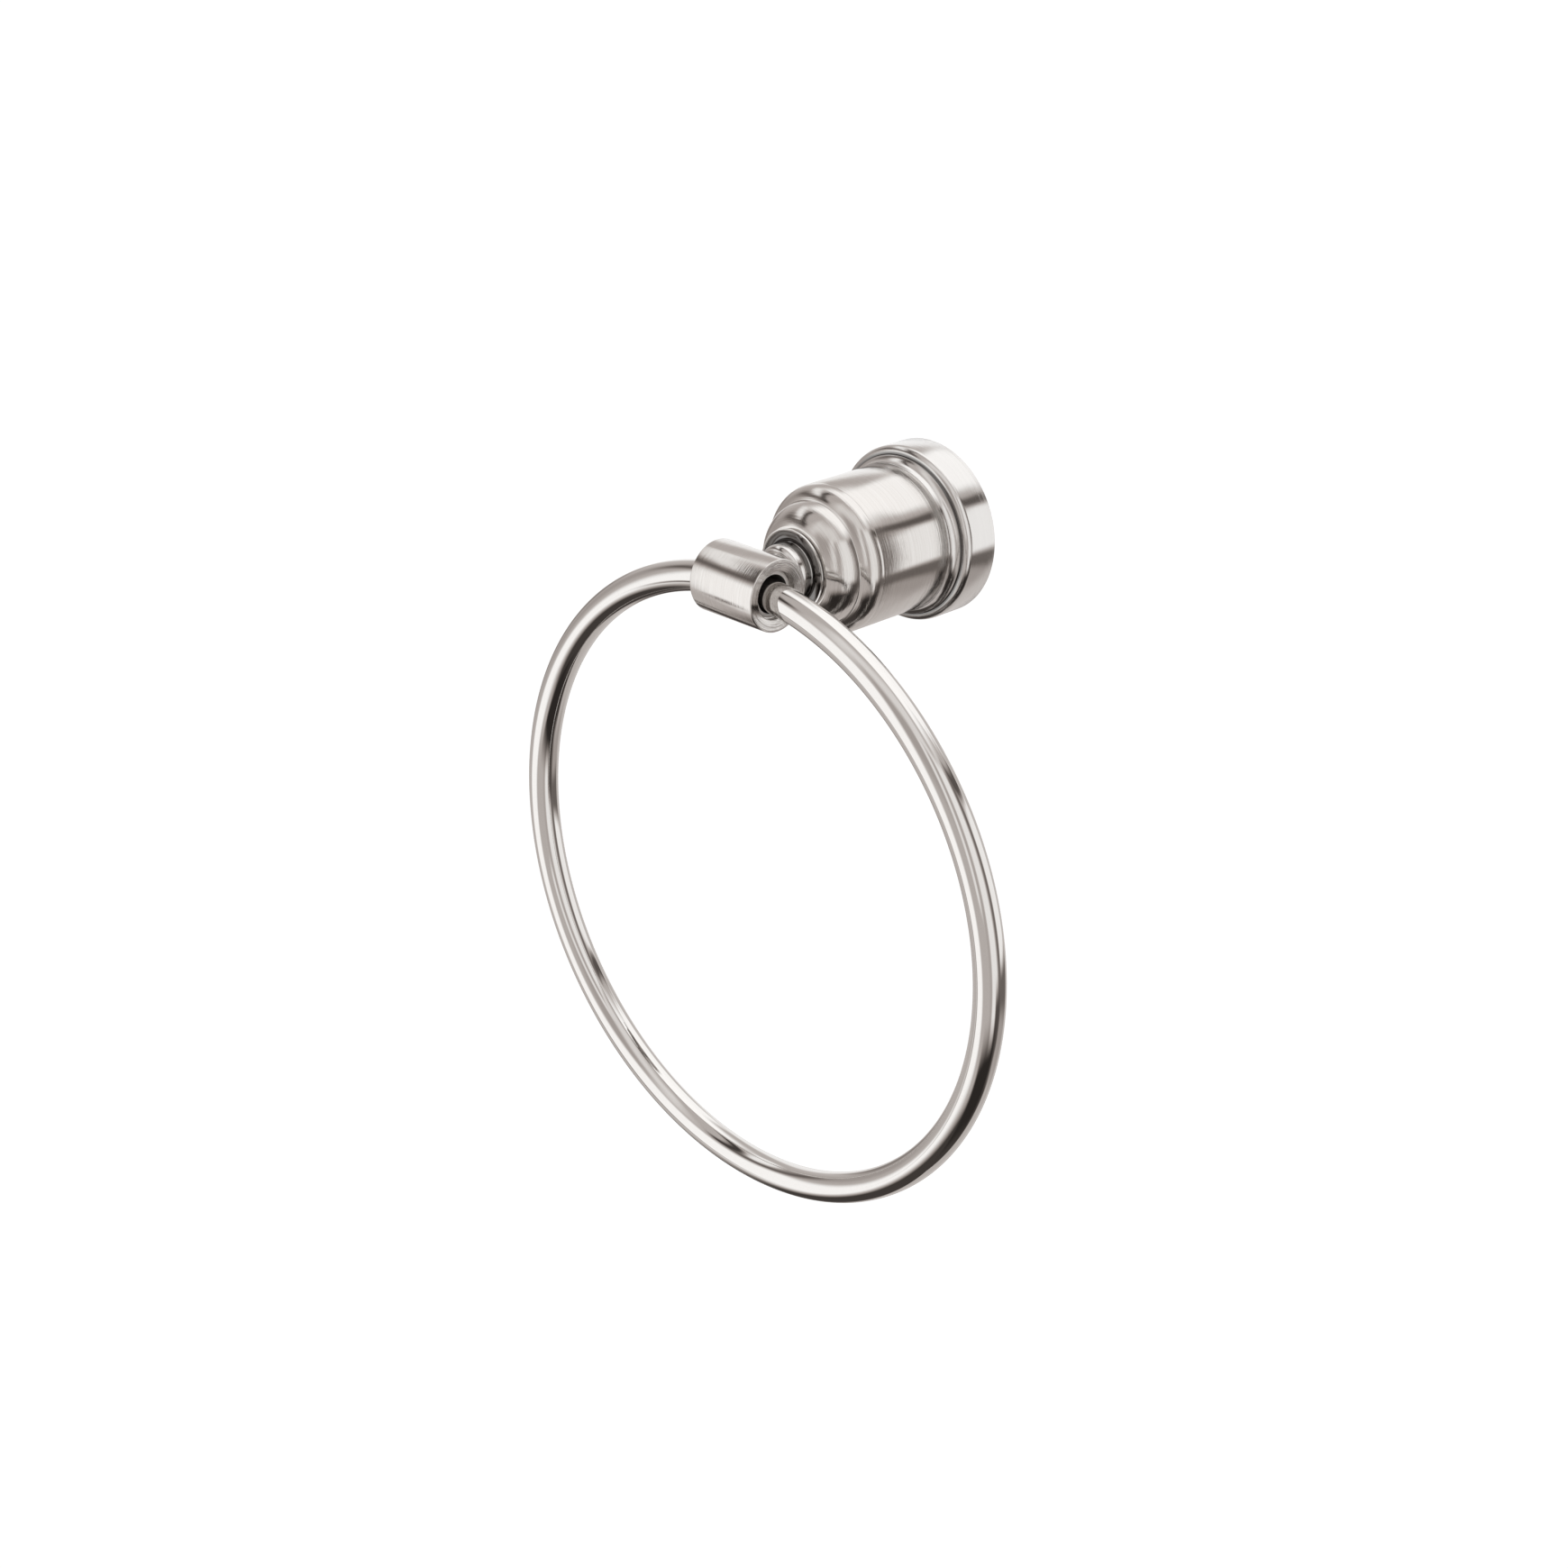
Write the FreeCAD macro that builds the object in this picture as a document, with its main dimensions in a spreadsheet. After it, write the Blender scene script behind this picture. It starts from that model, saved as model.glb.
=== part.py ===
"""Wall-mounted towel ring: a turned post, a cross barrel and a loose hanging ring.

Frame: X runs right along the wall, +Y points into the wall, +Z is up.
The wall is the plane Y = 0 and the origin is the centre of the flange's back face.
Lengths are in millimetres.
"""
import FreeCAD, Part
import os
import re
import Sketcher

doc = FreeCAD.newDocument("TowelRing")

# Driving dimensions
SIZES = {
    "rod_diameter": 7.7,
    "ring_outside_diameter": 165.0,
    "ring_end_gap": 4.2,
    "ring_end_round": 0.5,
    "flange_diameter": 44.0,
    "flange_edge_depth": 7.9,
    "flange_ovolo_height": 1.95,
    "flange_fillet_height": 0.35,
    "flange_cove_height": 2.5,
    "flange_wall": 5.4,
    "bulkhead_thickness": 3.0,
    "bulkhead_gap": 0.3,
    "sleeve_diameter": 36.8,
    "sleeve_wall": 2.4,
    "sleeve_length": 22.3,
    "register_length": 3.0,
    "register_gap": 0.05,
    "register_wall": 3.0,
    "shoulder_height": 4.85,
    "shoulder_fall": 3.2,
    "dome_height": 6.55,
    "dome_rise": 1.0,
    "dome_land_diameter": 20.8,
    "dome_roof": 3.4,
    "collar_diameter": 20.4,
    "collar_height": 1.2,
    "collar_floor": 1.0,
    "collar_back_diameter": 17.2,
    "collar_lip": 0.35,
    "collar_lip_height": 0.45,
    "collar_trough_rise": 0.15,
    "neck_diameter": 14.2,
    "neck_foot_round": 0.7,
    "neck_band": 3.2,
    "neck_round": 1.8,
    "neck_length": 14.6,
    "neck_seat_gap": 0.1,
    "spigot_diameter": 9.0,
    "spigot_length": 3.6,
    "spigot_gap": 0.1,
    "barrel_diameter": 17.6,
    "barrel_length": 20.6,
    "barrel_edge_round": 0.25,
    "dish_depth": 0.6,
    "barrel_web": 3.0,
    "counterbore_diameter": 11.7,
    "counterbore_depth": 2.0,
    "bush_outer_diameter": 11.2,
    "bush_wall": 1.05,
    "bush_lip_depth": 1.9,
    "bush_lip_round": 0.25,
    "bush_end_gap": 0.3,
    "bolt_diameter": 6.0,
    "bolt_hole_gap": 0.2,
    "bolt_head_diameter": 10.0,
    "bolt_head_height": 3.4,
    "bolt_key_width": 4.0,
    "bolt_key_depth": 2.0,
    "bolt_point": 0.7,
    "bolt_end_gap": 0.6,
    "bolt_wall_to_barrel_axis": 7.2,
    "washer_thickness": 1.0,
    "washer_slit": 0.9,
    "plate_thickness": 6.4,
    "plate_fit_gap": 0.15,
    "plate_bore_diameter": 12.4,
    "plate_edge_round": 0.4,
    "screw_hole_diameter": 4.6,
    "screw_hole_spacing": 22.6,
    "countersink_diameter": 8.6,
    "groove_depth": 1.5,
    "set_screw_diameter": 5.0,
    "set_screw_height": 3.9,
    "set_screw_recess": 0.6,
    "set_screw_tip_gap": 0.05,
    "set_screw_key_width": 2.5,
    "set_screw_key_depth": 2.2,
}

sheet = doc.addObject("Spreadsheet::Sheet", "Sizes")
for row, (alias, millimetres) in enumerate(SIZES.items(), start=1):
    sheet.set(f"A{row}", alias.replace("_", " "))
    sheet.set(f"B{row}", str(millimetres))
    sheet.setAlias(f"B{row}", alias)
doc.recompute()

# Sizes that follow from the driving ones
RING_RADIUS = "((ring_outside_diameter - rod_diameter) / 2)"
FLANGE_RADIUS = "(flange_diameter / 2)"
SOCKET_RADIUS = f"({FLANGE_RADIUS} - flange_wall)"
SOCKET_DEPTH = "(plate_thickness + bulkhead_gap)"
SLEEVE_RADIUS = "(sleeve_diameter / 2)"
SLEEVE_BORE_RADIUS = f"({SLEEVE_RADIUS} - sleeve_wall)"
REGISTER_RADIUS = f"({SLEEVE_BORE_RADIUS} - register_gap)"
HOLLOW_RADIUS = f"({REGISTER_RADIUS} - register_wall)"
OVOLO_SHARE = 0.54  # of the fall from the flange's edge to the sleeve
OVOLO_FALL = f"({OVOLO_SHARE} * ({FLANGE_RADIUS} - {SLEEVE_RADIUS}))"
COVE_FALL = f"({FLANGE_RADIUS} - {OVOLO_FALL} - {SLEEVE_RADIUS})"
COVE_START = "(flange_edge_depth + flange_ovolo_height + flange_fillet_height)"
FLANGE_HEIGHT = f"({COVE_START} + flange_cove_height)"
CAP_SEAT = f"({FLANGE_HEIGHT} + sleeve_length)"
DOME_RIM_RADIUS = f"({SLEEVE_RADIUS} - shoulder_fall)"
CAP_HEIGHT = "(shoulder_height + dome_height)"
COLLAR_SEAT = f"({CAP_SEAT} + {CAP_HEIGHT})"
NECK_SEAT = f"({COLLAR_SEAT} + collar_floor)"
BARREL_REACH = f"({NECK_SEAT} + neck_length)"
NECK_RADIUS = "(neck_diameter / 2)"
FOOT_RADIUS = f"({NECK_RADIUS} + neck_foot_round)"
STEM_RADIUS = f"({NECK_RADIUS} - neck_round)"
SPIGOT_RADIUS = "(spigot_diameter / 2)"
SPIGOT_HOLE_RADIUS = f"({SPIGOT_RADIUS} + spigot_gap)"
BARREL_RADIUS = "(barrel_diameter / 2)"
BARREL_HALF = "(barrel_length / 2)"
WEB_HALF = "(barrel_web / 2)"
COUNTERBORE_RADIUS = "(counterbore_diameter / 2)"
BUSH_RADIUS = "(bush_outer_diameter / 2)"
BUSH_BORE_RADIUS = f"({BUSH_RADIUS} - bush_wall)"
BOLT_RADIUS = "(bolt_diameter / 2)"
BOLT_HEAD_RADIUS = "(bolt_head_diameter / 2)"
BOLT_CLEAR_RADIUS = f"({BOLT_RADIUS} + bolt_hole_gap)"
BOLT_SEAT = f"({SOCKET_DEPTH} - washer_thickness)"
BOLT_REACH = f"({BARREL_REACH} - bolt_wall_to_barrel_axis - bolt_end_gap - {BOLT_SEAT})"
PLATE_RADIUS = f"({SOCKET_RADIUS} - plate_fit_gap)"
PLATE_BORE_RADIUS = "(plate_bore_diameter / 2)"
SET_SCREW_RADIUS = "(set_screw_diameter / 2)"
SET_SCREW_START = f"({PLATE_RADIUS} - groove_depth + set_screw_tip_gap)"
SET_SCREW_LENGTH = f"({FLANGE_RADIUS} - set_screw_recess - {SET_SCREW_START})"


def on_sheet(expression):
    """Return the expression with each size pointed at its cell."""
    def cell(word):
        return "Sizes." + word[0] if word[0] in SIZES else word[0]
    return re.sub(r"[a-z][a-z_]*", cell, str(expression))


def number(expression):
    """Work out an expression in millimetres."""
    return float(sheet.evalExpression(on_sheet(expression)))


def bind(target, path, expression):
    """Tie one property of an object to the sheet."""
    target.setExpression(path, on_sheet(expression))


def bulge_radius(width, rise):
    """Radius of the arc that stands by its rise over a chord of the given width."""
    return f"(({rise})^2 + ({width})^2 / 4) / (2 * ({rise}))"


def sweep_radius(height, fall):
    """Radius of the arc that leaves or meets a cylinder tangentially over a height and a fall."""
    return f"(({height})^2 + ({fall})^2) / (2 * ({fall}))"


# Ways that a piece's own axes are turned into the frame
UPRIGHT = FreeCAD.Rotation()
AWAY_FROM_WALL = FreeCAD.Rotation(FreeCAD.Vector(1, 0, 0), 90)
TOWARDS_WALL = FreeCAD.Rotation(FreeCAD.Vector(1, 0, 0), -90)
HALF_TURN = FreeCAD.Rotation(FreeCAD.Vector(0, 0, 1), 180)


def new_body(label, rotation, reach):
    """Start a piece whose own origin lies on the post's axis, at a distance from the wall."""
    body = doc.addObject("PartDesign::Body", label)
    body.Label = label
    body.Placement = FreeCAD.Placement(FreeCAD.Vector(0, 0, 0), rotation)
    bind(body, ".Placement.Base.y", f"-{reach}")
    return body


def plane_of(body, role):
    """Find one of the body's own origin planes."""
    for feature in body.Origin.OriginFeatures:
        if feature.Role == role:
            return feature
    raise ValueError(f"{body.Label} has no {role}")


def new_sketch(body, name, role, offset=None):
    """Attach an empty sketch to an origin plane, lifted off it by an offset if one is given."""
    sketch = body.newObject("Sketcher::SketchObject", name)
    sketch.AttachmentSupport = [(plane_of(body, role), "")]
    sketch.MapMode = "FlatFace"
    if offset is not None:
        bind(sketch, ".AttachmentOffset.Base.z", offset)
    return sketch


def fix_point(sketch, geometry, end, across, along):
    """Hold one end of a line or arc at its two distances from the sketch's origin."""
    if number(across) == 0:
        sketch.addConstraint(Sketcher.Constraint("PointOnObject", geometry, end, -2))
    else:
        index = sketch.addConstraint(
            Sketcher.Constraint("DistanceX", -1, 1, geometry, end, number(across)))
        bind(sketch, f"Constraints[{index}]", across)
    if number(along) == 0:
        sketch.addConstraint(Sketcher.Constraint("PointOnObject", geometry, end, -1))
    else:
        index = sketch.addConstraint(
            Sketcher.Constraint("DistanceY", -1, 1, geometry, end, number(along)))
        bind(sketch, f"Constraints[{index}]", along)


def arc_between(start, finish, radius, side):
    """Arc of a radius from one point to another, bulging to the left (+1) or right (-1)."""
    chord = finish - start
    half = chord.Length / 2
    outward = FreeCAD.Vector(-chord.y, chord.x, 0).normalize() * side
    rise = radius - max(radius ** 2 - half ** 2, 0) ** 0.5
    return Part.Arc(start, (start + finish) / 2 + outward * rise, finish)


def draw_outline(sketch, corners):
    """Draw a closed outline.

    Each corner is (across, along). A corner (across, along, radius, side) is reached
    from the one before it by an arc.
    """
    points = [FreeCAD.Vector(number(corner[0]), number(corner[1]), 0) for corner in corners]
    first_ends = []
    last_ends = []
    for index, corner in enumerate(corners):
        start, finish = points[index - 1], points[index]
        if len(corner) == 4:
            radius, side = corner[2], corner[3]
            arc = arc_between(start, finish, number(radius), side)
            geometry = sketch.addGeometry(arc, False)
            swapped = sketch.getPoint(geometry, 1).distanceToPoint(start) > \
                sketch.getPoint(geometry, 2).distanceToPoint(start)
            first_ends.append((geometry, 2 if swapped else 1))
            last_ends.append((geometry, 1 if swapped else 2))
            constraint = sketch.addConstraint(
                Sketcher.Constraint("Radius", geometry, number(radius)))
            bind(sketch, f"Constraints[{constraint}]", radius)
        else:
            geometry = sketch.addGeometry(Part.LineSegment(start, finish), False)
            first_ends.append((geometry, 1))
            last_ends.append((geometry, 2))
    for index, corner in enumerate(corners):
        following = first_ends[(index + 1) % len(corners)]
        sketch.addConstraint(Sketcher.Constraint("Coincident", *last_ends[index], *following))
        fix_point(sketch, *last_ends[index], corner[0], corner[1])


def draw_circle(sketch, across, along, diameter):
    """Draw a circle about a point."""
    centre = FreeCAD.Vector(number(across), number(along), 0)
    geometry = sketch.addGeometry(
        Part.Circle(centre, FreeCAD.Vector(0, 0, 1), number(diameter) / 2), False)
    index = sketch.addConstraint(Sketcher.Constraint("Diameter", geometry, number(diameter)))
    bind(sketch, f"Constraints[{index}]", diameter)
    fix_point(sketch, geometry, 3, across, along)


def draw_hexagon(sketch, width):
    """Draw a hexagon about the origin, with the given width across its flats."""
    corner_radius = f"({width}) / sqrt(3)"
    rim = sketch.addGeometry(
        Part.Circle(FreeCAD.Vector(0, 0, 0), FreeCAD.Vector(0, 0, 1), number(corner_radius)), True)
    sketch.addConstraint(Sketcher.Constraint("Coincident", rim, 3, -1, 1))
    index = sketch.addConstraint(Sketcher.Constraint("Radius", rim, number(corner_radius)))
    bind(sketch, f"Constraints[{index}]", corner_radius)
    spoke = FreeCAD.Vector(number(corner_radius), 0, 0)
    turn = FreeCAD.Rotation(FreeCAD.Vector(0, 0, 1), 60)
    sides = []
    for _ in range(6):
        following = turn.multVec(spoke)
        sides.append(sketch.addGeometry(Part.LineSegment(spoke, following), False))
        spoke = following
    for index, side in enumerate(sides):
        sketch.addConstraint(Sketcher.Constraint("Coincident", side, 2, sides[(index + 1) % 6], 1))
        sketch.addConstraint(Sketcher.Constraint("PointOnObject", side, 1, rim))
        if index:
            sketch.addConstraint(Sketcher.Constraint("Equal", sides[0], side))
    sketch.addConstraint(Sketcher.Constraint("PointOnObject", sides[0], 1, -1))


def turned(body, name, axis, corners, cut=False):
    """Turn an outline in the body's XZ plane about its X axis (H_Axis) or Z axis (V_Axis)."""
    sketch = new_sketch(body, name + "Outline", "XZ_Plane")
    draw_outline(sketch, corners)
    kind = "PartDesign::Groove" if cut else "PartDesign::Revolution"
    feature = body.newObject(kind, name)
    feature.Profile = sketch
    feature.ReferenceAxis = (sketch, [axis])
    feature.Angle = 360
    return feature


def mirrored(body, name, feature):
    """Repeat a feature on the other side of the body's YZ plane."""
    mirror = body.newObject("PartDesign::Mirrored", name)
    mirror.Originals = [feature]
    mirror.MirrorPlane = (plane_of(body, "YZ_Plane"), [""])
    body.Tip = mirror
    return mirror


def hex_pocket(body, name, width, depth, offset, inward=False):
    """Sink a hexagonal key socket into the body from a plane across its Z axis."""
    sketch = new_sketch(body, name + "Outline", "XY_Plane", offset)
    draw_hexagon(sketch, width)
    pocket = body.newObject("PartDesign::Pocket", name)
    pocket.Profile = sketch
    bind(pocket, "Length", depth)
    pocket.Reversed = inward
    return pocket


def make_wall_plate():
    """Round mounting plate, screwed to the wall and hidden by the flange."""
    body = new_body("wall_plate", AWAY_FROM_WALL, "0")
    turned(body, "PlateDisc", "V_Axis", [
        (PLATE_BORE_RADIUS, "0"),
        (PLATE_RADIUS, "0"),
        (PLATE_RADIUS, "set_screw_height - groove_depth"),
        (f"{PLATE_RADIUS} - groove_depth", "set_screw_height"),
        (PLATE_RADIUS, "set_screw_height + groove_depth"),
        (PLATE_RADIUS, "plate_thickness - plate_edge_round"),
        (f"{PLATE_RADIUS} - plate_edge_round", "plate_thickness", "plate_edge_round", 1),
        (PLATE_BORE_RADIUS, "plate_thickness"),
    ])
    doc.recompute()
    centres = new_sketch(body, "ScrewCentres", "XY_Plane", "plate_thickness")
    draw_circle(centres, "0", "screw_hole_spacing / 2", "screw_hole_diameter")
    draw_circle(centres, "0", "-screw_hole_spacing / 2", "screw_hole_diameter")
    doc.recompute()
    holes = body.newObject("PartDesign::Hole", "ScrewHoles")
    holes.Profile = centres
    holes.ThreadType = "None"
    holes.DepthType = "ThroughAll"
    holes.HoleCutType = "Countersink"
    holes.HoleCutCustomValues = True
    holes.HoleCutCountersinkAngle = 90
    bind(holes, "Diameter", "screw_hole_diameter")
    bind(holes, "HoleCutDiameter", "countersink_diameter")
    return body


def make_wall_flange():
    """Turned flange: an ovolo, a fillet and a cove outside, a socket and a register inside."""
    body = new_body("wall_flange", AWAY_FROM_WALL, "0")
    ovolo_top = "(flange_edge_depth + flange_ovolo_height)"
    ovolo_radius = sweep_radius("flange_ovolo_height", OVOLO_FALL)
    cove_radius = sweep_radius("flange_cove_height", COVE_FALL)
    turned(body, "FlangeTurning", "V_Axis", [
        (SOCKET_RADIUS, "0"),
        (FLANGE_RADIUS, "0"),
        (FLANGE_RADIUS, "flange_edge_depth"),
        (f"{FLANGE_RADIUS} - {OVOLO_FALL}", ovolo_top, ovolo_radius, -1),
        (f"{FLANGE_RADIUS} - {OVOLO_FALL}", COVE_START),
        (SLEEVE_RADIUS, FLANGE_HEIGHT, cove_radius, 1),
        (REGISTER_RADIUS, FLANGE_HEIGHT),
        (REGISTER_RADIUS, f"{FLANGE_HEIGHT} + register_length"),
        (HOLLOW_RADIUS, f"{FLANGE_HEIGHT} + register_length"),
        (HOLLOW_RADIUS, f"{SOCKET_DEPTH} + bulkhead_thickness"),
        (BOLT_CLEAR_RADIUS, f"{SOCKET_DEPTH} + bulkhead_thickness"),
        (BOLT_CLEAR_RADIUS, SOCKET_DEPTH),
        (SOCKET_RADIUS, SOCKET_DEPTH),
    ])
    side = new_sketch(body, "SetScrewHoleOutline", "XZ_Plane")
    draw_circle(side, "0", "set_screw_height", "set_screw_diameter")
    hole = body.newObject("PartDesign::Pocket", "SetScrewHole")
    hole.Profile = side
    hole.Reversed = True
    bind(hole, "Length", f"{FLANGE_RADIUS} + flange_wall")
    return body


def make_body_sleeve():
    """Plain brushed tube between the flange and the dome cap."""
    body = new_body("body_sleeve", AWAY_FROM_WALL, FLANGE_HEIGHT)
    turned(body, "SleeveTurning", "V_Axis", [
        (SLEEVE_BORE_RADIUS, "0"),
        (SLEEVE_RADIUS, "0"),
        (SLEEVE_RADIUS, "sleeve_length"),
        (SLEEVE_BORE_RADIUS, "sleeve_length"),
    ])
    return body


def make_dome_cap():
    """Turned cap: a shoulder that flows out of the sleeve and a dome, hollow behind."""
    body = new_body("dome_cap", AWAY_FROM_WALL, CAP_SEAT)
    land_radius = "(dome_land_diameter / 2)"
    dome_width = f"sqrt(({DOME_RIM_RADIUS} - {land_radius})^2 + dome_height^2)"
    roof_bottom = f"({CAP_HEIGHT} - dome_roof)"
    turned(body, "CapTurning", "V_Axis", [
        (REGISTER_RADIUS, "0"),
        (SLEEVE_RADIUS, "0"),
        (DOME_RIM_RADIUS, "shoulder_height", sweep_radius("shoulder_height", "shoulder_fall"), -1),
        (land_radius, CAP_HEIGHT, bulge_radius(dome_width, "dome_rise"), -1),
        (SPIGOT_HOLE_RADIUS, CAP_HEIGHT),
        (SPIGOT_HOLE_RADIUS, roof_bottom),
        (f"{SPIGOT_HOLE_RADIUS} + dome_roof", roof_bottom),
        (HOLLOW_RADIUS, "shoulder_height"),
        (HOLLOW_RADIUS, "0"),
    ])
    register = new_sketch(body, "RegisterOutline", "XY_Plane")
    draw_circle(register, "0", "0", f"2 * {REGISTER_RADIUS}")
    draw_circle(register, "0", "0", f"2 * {HOLLOW_RADIUS}")
    spigot = body.newObject("PartDesign::Pad", "Register")
    spigot.Profile = register
    spigot.Reversed = True
    bind(spigot, "Length", "register_length")
    return body


def make_collar_ring():
    """Thin dished collar clamped between the dome and the neck."""
    body = new_body("collar_ring", AWAY_FROM_WALL, COLLAR_SEAT)
    rim_radius = "(collar_diameter / 2)"
    lip_inner = f"({rim_radius} - collar_lip)"
    trough_edge = f"({FOOT_RADIUS} + neck_seat_gap)"
    trough_width = f"sqrt(({lip_inner} - {trough_edge})^2 + (collar_height - collar_floor)^2)"
    turned(body, "CollarTurning", "V_Axis", [
        (SPIGOT_HOLE_RADIUS, "0"),
        ("collar_back_diameter / 2", "0"),
        (rim_radius, "collar_height - collar_lip_height"),
        (rim_radius, "collar_height"),
        (lip_inner, "collar_height"),
        (trough_edge, "collar_floor", bulge_radius(trough_width, "collar_trough_rise"), 1),
        (SPIGOT_HOLE_RADIUS, "collar_floor"),
    ])
    return body


def make_ring_holder():
    """Cross barrel with a neck: a lined pocket in each end takes one end of the ring."""
    body = new_body("ring_holder", TOWARDS_WALL, BARREL_REACH)
    dish_face = f"({BARREL_HALF} - dish_depth)"
    edge_radius = f"({BARREL_RADIUS} - barrel_edge_round)"
    half = turned(body, "HalfBarrel", "H_Axis", [
        ("0", "0"),
        (dish_face, "0"),
        (dish_face, COUNTERBORE_RADIUS),
        (BARREL_HALF, edge_radius),
        (f"{BARREL_HALF} - barrel_edge_round", BARREL_RADIUS, "barrel_edge_round", -1),
        ("0", BARREL_RADIUS),
    ])
    mirrored(body, "OtherHalfBarrel", half)
    spigot_end = "(neck_length + spigot_length)"
    band_top = "(neck_length - neck_band)"
    turned(body, "Neck", "V_Axis", [
        ("0", WEB_HALF),
        (STEM_RADIUS, WEB_HALF),
        (STEM_RADIUS, f"{band_top} - neck_round"),
        (NECK_RADIUS, band_top, "neck_round", -1),
        (NECK_RADIUS, "neck_length - neck_foot_round"),
        (FOOT_RADIUS, "neck_length", "neck_foot_round", 1),
        (SPIGOT_RADIUS, "neck_length"),
        (SPIGOT_RADIUS, spigot_end),
        ("0", spigot_end),
    ])
    pocket = turned(body, "RingPocket", "H_Axis", [
        (WEB_HALF, "0"),
        (WEB_HALF, BUSH_RADIUS),
        (f"{BARREL_HALF} - counterbore_depth", BUSH_RADIUS),
        (f"{BARREL_HALF} - counterbore_depth", COUNTERBORE_RADIUS),
        (BARREL_HALF, COUNTERBORE_RADIUS),
        (BARREL_HALF, "0"),
    ], cut=True)
    mirrored(body, "OtherRingPocket", pocket)
    turned(body, "BoltHole", "V_Axis", [
        ("0", "bolt_wall_to_barrel_axis"),
        (BOLT_RADIUS, "bolt_wall_to_barrel_axis"),
        (BOLT_RADIUS, spigot_end),
        ("0", spigot_end),
    ], cut=True)
    return body


def make_bush(label, rotation):
    """Thin liner of one ring pocket, with a rounded lip at its mouth."""
    body = new_body(label, rotation, BARREL_REACH)
    mouth = f"({BARREL_HALF} - bush_lip_depth)"
    back = f"({WEB_HALF} + bush_end_gap)"
    turned(body, "BushTurning", "H_Axis", [
        (back, BUSH_BORE_RADIUS),
        (f"{mouth} - bush_lip_round", BUSH_BORE_RADIUS),
        (mouth, f"{BUSH_BORE_RADIUS} + bush_lip_round", "bush_lip_round", 1),
        (mouth, f"{BUSH_RADIUS} - bush_lip_round"),
        (f"{mouth} - bush_lip_round", BUSH_RADIUS, "bush_lip_round", 1),
        (back, BUSH_RADIUS),
    ])
    return body


def make_towel_ring():
    """Round rod bent to a ring, its two cut ends facing each other inside the barrel."""
    body = new_body("towel_ring", UPRIGHT, BARREL_REACH)
    section = new_sketch(body, "RodSection", "YZ_Plane")
    draw_circle(section, "0", f"-2 * {RING_RADIUS}", "rod_diameter")
    first = FreeCAD.Vector(0, -number(RING_RADIUS), 0)
    axis = section.addGeometry(
        Part.LineSegment(first, first + FreeCAD.Vector(number("rod_diameter"), 0, 0)), True)
    section.addConstraint(Sketcher.Constraint("Horizontal", axis))
    fix_point(section, axis, 1, "0", f"-{RING_RADIUS}")
    index = section.addConstraint(
        Sketcher.Constraint("DistanceX", axis, 1, axis, 2, number("rod_diameter")))
    bind(section, f"Constraints[{index}]", "rod_diameter")
    bend = body.newObject("PartDesign::Revolution", "RodBend")
    bend.Profile = section
    bend.ReferenceAxis = (section, ["Axis0"])
    bend.Midplane = True
    bind(bend, "Angle", f"360 deg - 2 * asin(ring_end_gap / 2 / {RING_RADIUS})")
    doc.recompute()
    rims = [
        f"Edge{index}" for index, edge in enumerate(bend.Shape.Edges, start=1)
        if isinstance(edge.Curve, Part.Circle) and edge.isClosed()
        and abs(edge.Curve.Radius - number("rod_diameter") / 2) < 1e-6
    ]
    rounding = body.newObject("PartDesign::Fillet", "EndRounding")
    rounding.Base = (bend, rims)
    bind(rounding, "Radius", "ring_end_round")
    return body


def make_tie_bolt():
    """Long screw that draws flange, sleeve, cap, collar and holder together from behind."""
    body = new_body("tie_bolt", AWAY_FROM_WALL, BOLT_SEAT)
    turned(body, "Shank", "V_Axis", [
        ("0", "0"),
        (BOLT_RADIUS, "0"),
        (BOLT_RADIUS, f"{BOLT_REACH} - bolt_point"),
        (f"{BOLT_RADIUS} - bolt_point", BOLT_REACH),
        ("0", BOLT_REACH),
    ])
    head_outline = new_sketch(body, "HeadOutline", "XY_Plane")
    draw_circle(head_outline, "0", "0", "bolt_head_diameter")
    head = body.newObject("PartDesign::Pad", "Head")
    head.Profile = head_outline
    head.Reversed = True
    bind(head, "Length", "bolt_head_height")
    hex_pocket(body, "KeySocket", "bolt_key_width", "bolt_key_depth",
               offset="-bolt_head_height", inward=True)
    return body


def make_spring_washer():
    """Split washer under the bolt's head."""
    body = new_body("spring_washer", AWAY_FROM_WALL, BOLT_SEAT)
    turned(body, "WasherTurning", "V_Axis", [
        (BOLT_CLEAR_RADIUS, "0"),
        (BOLT_HEAD_RADIUS, "0"),
        (BOLT_HEAD_RADIUS, "washer_thickness"),
        (BOLT_CLEAR_RADIUS, "washer_thickness"),
    ])
    slit_outline = new_sketch(body, "SlitOutline", "YZ_Plane")
    draw_outline(slit_outline, [
        ("0", "0"),
        (BOLT_HEAD_RADIUS, "0"),
        (BOLT_HEAD_RADIUS, "washer_thickness"),
        ("0", "washer_thickness"),
    ])
    slit = body.newObject("PartDesign::Pocket", "Slit")
    slit.Profile = slit_outline
    slit.Midplane = True
    bind(slit, "Length", "washer_slit")
    return body


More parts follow.
